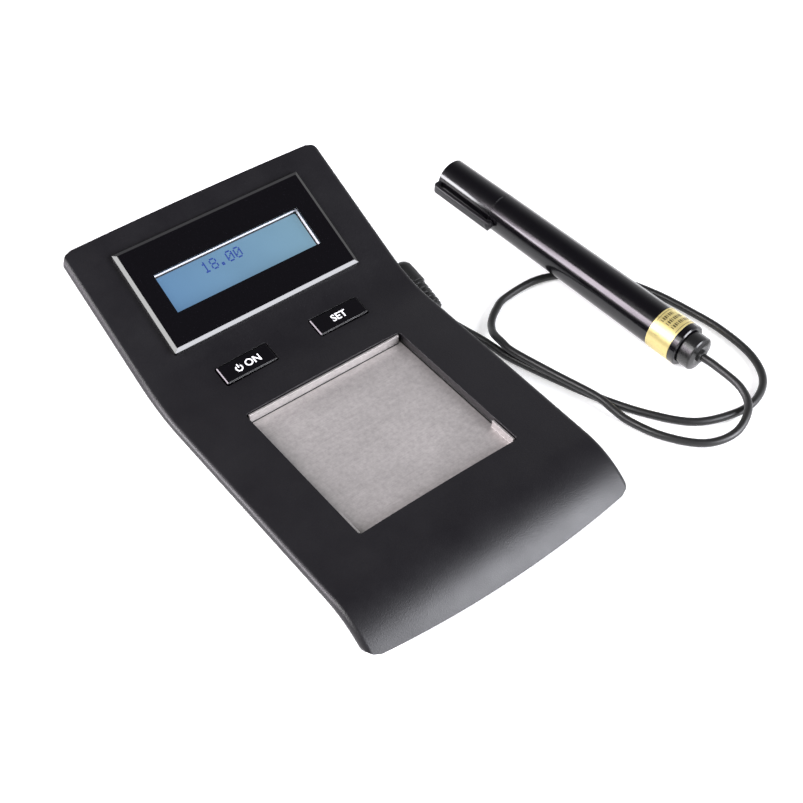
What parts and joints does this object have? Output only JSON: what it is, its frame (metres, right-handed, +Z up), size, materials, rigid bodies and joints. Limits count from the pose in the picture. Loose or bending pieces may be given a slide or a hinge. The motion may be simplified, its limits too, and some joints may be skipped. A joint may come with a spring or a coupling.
{
  "type": "electronic gold tester",
  "caption": "Desk console with a sloping display, keys and a steel test plate, wired to a capped pen probe that is touched to a gold item on the plate.",
  "frame": {"origin": "middle of the set's footprint, on the desk under the feet", "axes": "+Z up; the console faces -Y, its display slopes up towards +Y, and the pen probe lies at +X"},
  "size_m": [0.2114, 0.1938, 0.0516],
  "materials": {
    "cover_plastic": "satin charcoal moulding with a fine texture",
    "base_plastic": "matt black moulding",
    "bezel_gloss": "glossy black",
    "silver_frame": "pale silver paint",
    "display_glass": "blue lit display",
    "diffuser": "milky diffuser",
    "circuit_board": "green solder mask",
    "screw_steel": "zinc plated",
    "switch_plastic": "black switch body",
    "chip_plastic": "black moulded parts",
    "plate_steel": "fine satin stainless steel",
    "wire_red": "red wire",
    "socket_plastic": "black socket",
    "battery_case": "blue metal case",
    "ribbon_grey": "grey ribbon",
    "foot_rubber": "black rubber",
    "key_gloss": "glossy black",
    "pin_brass": "plated pin",
    "plug_plastic": "matt black",
    "plug_rubber": "matt black flexible",
    "cord_rubber": "dark grey flexible",
    "pen_gloss": "glossy black",
    "label_gold": "pale gold foil",
    "cartridge_clear": "translucent white",
    "nose_metal": "turned",
    "felt": "felt",
    "knob_plastic": "black"
  },
  "bodies": {
    "console": {"top_cover": "cover_plastic", "base_shell": "base_plastic", "display_bezel": "bezel_gloss", "lcd_frame": "silver_frame", "lcd_glass": "display_glass", "lcd_backlight": "diffuser", "lcd_board": "circuit_board", "lcd_screws": "screw_steel", "key_board": "circuit_board", "key_board_screws": "screw_steel", "key_switches": "switch_plastic", "main_board": "circuit_board", "board_parts": "chip_plastic", "board_screws": "screw_steel", "plate_holder": "base_plastic", "test_plate": "plate_steel", "plate_lead": "wire_red", "probe_socket": "socket_plastic", "dc_jack": "socket_plastic", "battery": "battery_case", "battery_snap": "socket_plastic", "battery_leads": "wire_red", "ribbon_cable": "ribbon_grey", "case_screws": "screw_steel", "feet": "foot_rubber"},
    "left_key": {"left_key": "key_gloss"},
    "right_key": {"right_key": "key_gloss"},
    "battery_door": {"battery_door": "base_plastic"},
    "probe": {"plug_pin": "pin_brass", "plug_body": "plug_plastic", "strain_relief": "plug_rubber", "probe_lead": "cord_rubber", "pen_barrel": "pen_gloss", "label_band": "label_gold", "tail_collar": "pen_gloss", "cord_sleeve": "plug_plastic", "gel_cartridge": "cartridge_clear", "nose_cone": "nose_metal", "felt_tip": "felt"},
    "feed_knob": {"feed_knob": "knob_plastic"},
    "feed_tube": {"feed_tube": "cartridge_clear"},
    "pen_cap": {"pen_cap": "pen_gloss", "pen_clip": "pen_gloss"}
  },
  "joints": [
    {"name": "left_key_press", "type": "slide", "parent": "console", "child": "left_key", "axis": [0, 0.1833, -0.9831], "range_m": [0, 0.0008], "stiffness_N_per_m": 300, "springref_m": -0.0006},
    {"name": "right_key_press", "type": "slide", "parent": "console", "child": "right_key", "axis": [0, 0.1833, -0.9831], "range_m": [0, 0.0008], "stiffness_N_per_m": 300, "springref_m": -0.0006},
    {"name": "battery_door_slide", "type": "slide", "parent": "console", "child": "battery_door", "axis": [0, 1, 0], "range_m": [0, 0.03]},
    {"name": "plug_pull", "type": "slide", "parent": "console", "child": "probe", "axis": [1, 0, 0], "range_m": [0, 0.016]},
    {"name": "cap_pull", "type": "slide", "parent": "probe", "child": "pen_cap", "axis": [-0.0801, 0.9958, 0.0454], "range_m": [0, 0.04]},
    {"name": "feed_knob_turn", "type": "hinge", "parent": "probe", "child": "feed_knob", "pos_m": [0.0885, -0.0606, 0.00859], "axis": [-0.0801, 0.9958, 0.0454], "range_deg": [0, 1800]},
    {"name": "feed_tube_travel", "type": "slide", "parent": "probe", "child": "feed_tube", "axis": [-0.0801, 0.9958, 0.0454], "range_m": [0, 0.01]}
  ],
  "couplings": [
    {"joint": "feed_knob_turn", "follows": "feed_tube_travel", "rad_per_m": 3141.6}
  ]
}
